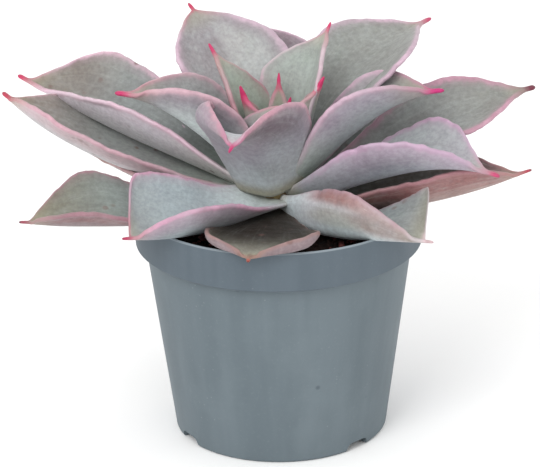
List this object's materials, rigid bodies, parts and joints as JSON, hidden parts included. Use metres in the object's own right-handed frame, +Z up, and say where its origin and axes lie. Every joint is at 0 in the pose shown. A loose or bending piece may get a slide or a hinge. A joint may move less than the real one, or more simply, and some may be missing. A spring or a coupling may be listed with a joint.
{
  "type": "potted echeveria",
  "caption": "Rosette succulent with broad, channelled, pink-edged grey-green leaves on a short stem, in a round tapered nursery pot with a straight rim band.",
  "frame": {"origin": "the middle of the pot's underside, on the pot's axis", "axes": "+Z up along the pot's axis, +X to the picture's right, -Y towards the picture's viewer"},
  "size_m": [0.1955, 0.1434, 0.1497],
  "materials": {
    "pot_plastic": "satin",
    "potting_mix": "matte",
    "stem_skin": "matte",
    "outer_leaves": "matte",
    "middle_leaves": "matte",
    "upper_leaves": "matte",
    "heart_leaves": "matte"
  },
  "bodies": {
    "root": {"pot": "pot_plastic", "potting_mix": "potting_mix", "stem": "stem_skin", "outer_leaf_1": "outer_leaves", "outer_leaf_2": "outer_leaves", "outer_leaf_3": "outer_leaves", "outer_leaf_4": "outer_leaves", "outer_leaf_5": "outer_leaves", "outer_leaf_6": "outer_leaves", "outer_leaf_7": "outer_leaves", "outer_leaf_8": "outer_leaves", "outer_leaf_9": "outer_leaves", "outer_leaf_10": "outer_leaves", "middle_leaf_1": "middle_leaves", "middle_leaf_2": "middle_leaves", "middle_leaf_3": "middle_leaves", "middle_leaf_4": "middle_leaves", "middle_leaf_5": "middle_leaves", "middle_leaf_6": "middle_leaves", "middle_leaf_7": "middle_leaves", "upper_leaf_1": "upper_leaves", "upper_leaf_2": "upper_leaves", "upper_leaf_3": "upper_leaves", "upper_leaf_4": "upper_leaves", "upper_leaf_5": "upper_leaves", "heart_leaf_1": "heart_leaves", "heart_leaf_2": "heart_leaves", "heart_leaf_3": "heart_leaves", "heart_leaf_4": "heart_leaves", "heart_leaf_5": "heart_leaves", "heart_leaf_6": "heart_leaves", "heart_leaf_7": "heart_leaves", "heart_leaf_8": "heart_leaves", "heart_leaf_9": "heart_leaves", "heart_leaf_10": "heart_leaves"}
  },
  "joints": []
}
